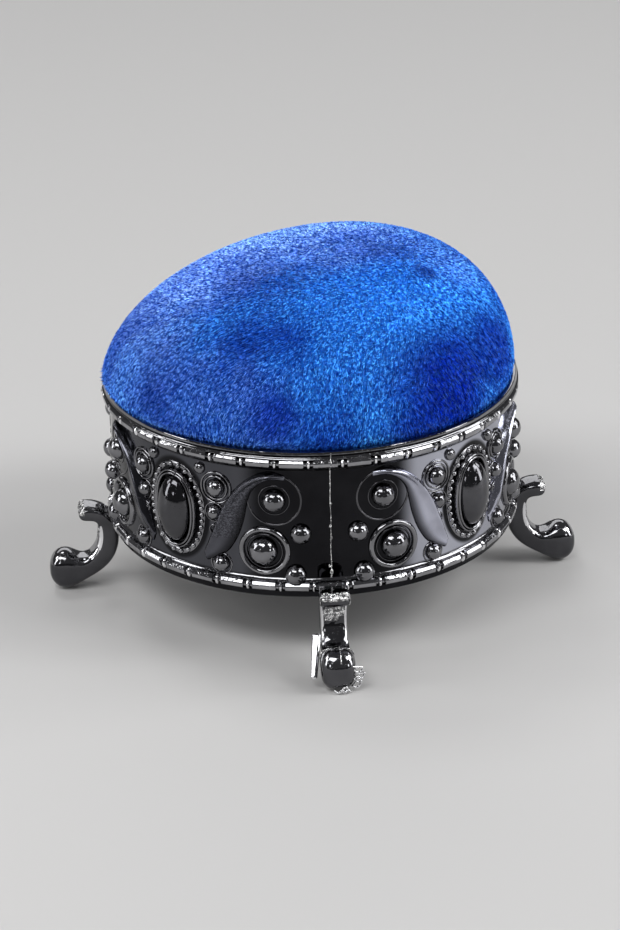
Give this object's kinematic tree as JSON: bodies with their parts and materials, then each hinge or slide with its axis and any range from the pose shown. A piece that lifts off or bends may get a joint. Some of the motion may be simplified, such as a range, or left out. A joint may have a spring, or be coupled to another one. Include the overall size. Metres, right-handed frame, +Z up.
{
  "type": "footed pincushion",
  "caption": "Round domed velvet pincushion set in a cast ornamental ring on C-scroll feet, for holding sewing pins and needles.",
  "frame": {"origin": "on the floor, below the middle of the ring", "axes": "+Z up; -Y towards the front foot, which stands under the mould seam nearest the viewer; +X to the viewer's right"},
  "size_m": [0.1022, 0.1022, 0.0682],
  "materials": {
    "plated_metal": "bright plated casting, polished, with light casting marks",
    "velvet": "royal blue short-pile velvet",
    "fibre": "packed fibre filling",
    "card": "grey-brown board, matt",
    "thread": "cotton thread",
    "glue": "dried adhesive",
    "felt": "dark felt, matt"
  },
  "bodies": {
    "root": {"base_ring": "plated_metal", "front_foot": "plated_metal", "right_foot": "plated_metal", "rear_foot": "plated_metal", "left_foot": "plated_metal", "velvet_cover": "velvet", "stuffing": "fibre", "backing_card": "card", "gathering_thread": "thread", "glue_bead": "glue", "underside_felt": "felt"}
  },
  "joints": []
}
